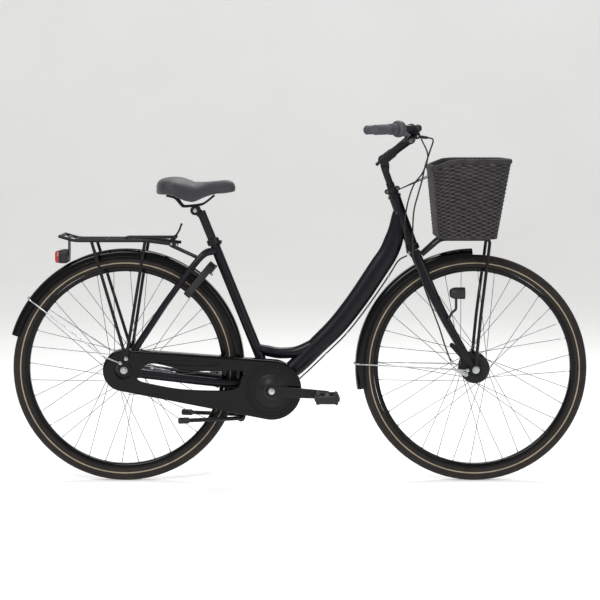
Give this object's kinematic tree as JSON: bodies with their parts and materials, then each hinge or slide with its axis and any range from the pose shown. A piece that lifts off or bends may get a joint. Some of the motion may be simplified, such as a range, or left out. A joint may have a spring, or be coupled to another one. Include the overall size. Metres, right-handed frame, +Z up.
{
  "type": "step-through city bicycle",
  "caption": "Step-through city bicycle with swan-neck frame, chaincase, rear rack, front wicker basket, spoked wheels and swept-back handlebar.",
  "frame": {"origin": "on the ground, midway along the bicycle's length and in its middle plane", "axes": "+X forward, +Y to the bicycle's left, +Z up; the drive side faces -Y"},
  "size_m": [1.7844, 0.6212, 1.1157],
  "materials": {
    "frame_paint": "satin black",
    "gloss_cover": "gloss black",
    "black_metal": "satin black",
    "silver_metal": "bright",
    "tyre_rubber": "matt with a cream stripe",
    "grip_rubber": "matt",
    "saddle_cover": "matt synthetic leather",
    "wicker": "matt woven cane",
    "black_plastic": "matt",
    "red_lens": "clear red",
    "clear_lens": "clear",
    "cable_cover": "satin"
  },
  "bodies": {
    "frame": {"head_tube": "frame_paint", "down_tube": "frame_paint", "brace_tube": "frame_paint", "seat_tube": "frame_paint", "bottom_bracket_shell": "frame_paint", "seat_stays": "frame_paint", "chain_stays": "frame_paint", "seat_clamp": "silver_metal", "bottom_bracket_bearing": "silver_metal", "chaincase": "gloss_cover", "chain": "silver_metal", "mudguard_rear": "gloss_cover", "mudguard_rear_stay": "silver_metal", "rack": "black_metal", "rack_strut": "black_metal", "tail_light_body": "black_plastic", "tail_light_lens": "red_lens", "ring_lock_housing": "black_plastic", "rear_axle": "silver_metal", "shift_cable_lower": "cable_cover"},
    "fork": {"fork": "frame_paint", "stem_quill": "black_metal", "headset_bracket": "black_metal", "mudguard_front": "gloss_cover", "mudguard_front_stay": "silver_metal", "front_axle": "silver_metal", "drum_brake_plate": "black_metal", "front_carrier": "black_metal", "basket": "wicker", "headlight_body": "black_plastic", "headlight_lens": "clear_lens", "brake_cable": "cable_cover", "shift_cable_upper": "cable_cover"},
    "handlebar": {"stem_extension": "black_metal", "handlebar": "black_metal", "grip_left": "grip_rubber", "grip_right": "grip_rubber", "lever_bracket": "black_metal"},
    "shifter": {"twist_grip": "grip_rubber"},
    "brake_lever": {"brake_lever": "black_metal"},
    "drum_arm": {"drum_brake_arm": "silver_metal"},
    "front_wheel": {"front_tyre": "tyre_rubber", "front_rim": "gloss_cover", "front_hub_spokes": "silver_metal"},
    "rear_wheel": {"rear_tyre": "tyre_rubber", "rear_rim": "gloss_cover", "rear_hub_spokes": "silver_metal"},
    "crank": {"crank_axle": "silver_metal", "crank_right": "black_metal", "crank_left": "black_metal", "chainring": "silver_metal"},
    "sprocket": {"rear_sprocket": "silver_metal"},
    "pedal_right": {"pedal_right": "black_plastic"},
    "pedal_left": {"pedal_left": "black_plastic"},
    "seat_post": {"seat_post": "black_metal"},
    "saddle": {"saddle": "saddle_cover", "saddle_rails": "black_metal"},
    "kickstand": {"kickstand_legs": "black_metal"},
    "lock_shackle": {"lock_shackle": "silver_metal"},
    "rack_clip": {"rack_clip": "black_metal"}
  },
  "joints": [
    {"name": "steering", "type": "hinge", "parent": "frame", "child": "fork", "pos_m": [0.2948, 0, 0.885], "axis": [-0.3354, 0, 0.9421], "range_deg": [-50, 50], "deforming": ["shift_cable_upper", "shift_cable_lower"]},
    {"name": "stem_tilt", "type": "hinge", "parent": "fork", "child": "handlebar", "pos_m": [0.262, 0, 0.994], "axis": [0, 1, 0], "range_deg": [-15, 10], "deforming": ["brake_cable"]},
    {"name": "front_wheel_spin", "type": "hinge", "parent": "fork", "child": "front_wheel", "pos_m": [0.5428, 0, 0.35], "axis": [0, 1, 0], "continuous": true},
    {"name": "rear_wheel_spin", "type": "hinge", "parent": "frame", "child": "rear_wheel", "pos_m": [-0.5378, 0, 0.35], "axis": [0, 1, 0], "continuous": true},
    {"name": "crank_spin", "type": "hinge", "parent": "frame", "child": "crank", "pos_m": [-0.0838, 0, 0.2897], "axis": [0, 1, 0], "continuous": true},
    {"name": "sprocket_spin", "type": "hinge", "parent": "frame", "child": "sprocket", "pos_m": [-0.5378, 0, 0.35], "axis": [0, 1, 0], "continuous": true},
    {"name": "pedal_right_spin", "type": "hinge", "parent": "crank", "child": "pedal_right", "pos_m": [0.08411, -0.149, 0.27825], "axis": [0, 1, 0], "continuous": true},
    {"name": "pedal_left_spin", "type": "hinge", "parent": "crank", "child": "pedal_left", "pos_m": [-0.25171, 0.149, 0.30115], "axis": [0, 1, 0], "continuous": true},
    {"name": "brake_lever_pull", "type": "hinge", "parent": "handlebar", "child": "brake_lever", "pos_m": [0.348, -0.164, 1.068], "axis": [-0.6954, 0.7186, 0], "range_deg": [0, 10], "stiffness_Nm_per_rad": 2},
    {"name": "drum_arm_pull", "type": "hinge", "parent": "fork", "child": "drum_arm", "pos_m": [0.5138, -0.045, 0.334], "axis": [0, 1, 0], "range_deg": [0, 8]},
    {"name": "gear_twist", "type": "hinge", "parent": "handlebar", "child": "shifter", "pos_m": [0.322, -0.194, 1.091], "axis": [-0.686, -0.7271, -0.0274], "range_deg": [-60, 60]},
    {"name": "seat_post_slide", "type": "slide", "parent": "frame", "child": "seat_post", "axis": [-0.3771, 0, 0.9262], "range_m": [-0.07, 0.06]},
    {"name": "saddle_tilt", "type": "hinge", "parent": "seat_post", "child": "saddle", "pos_m": [-0.322, 0, 0.838], "axis": [0, 1, 0], "range_deg": [-12, 12]},
    {"name": "stand_fold", "type": "hinge", "parent": "frame", "child": "kickstand", "pos_m": [-0.18, 0, 0.197], "axis": [0, -1, 0], "range_deg": [0, 98]},
    {"name": "lock_close", "type": "hinge", "parent": "frame", "child": "lock_shackle", "pos_m": [-0.32054, 0, 0.60892], "axis": [0.766, 0, -0.6428], "range_deg": [0, 108]},
    {"name": "clip_lift", "type": "hinge", "parent": "frame", "child": "rack_clip", "pos_m": [-0.386, 0, 0.7543], "axis": [0, 1, 0], "range_deg": [0, 60], "stiffness_Nm_per_rad": 1.5}
  ],
  "couplings": [
    {"joint": "sprocket_spin", "follows": "crank_spin", "ratio": 2.1111},
    {"joint": "drum_arm_pull", "follows": "brake_lever_pull", "ratio": 0.8}
  ]
}
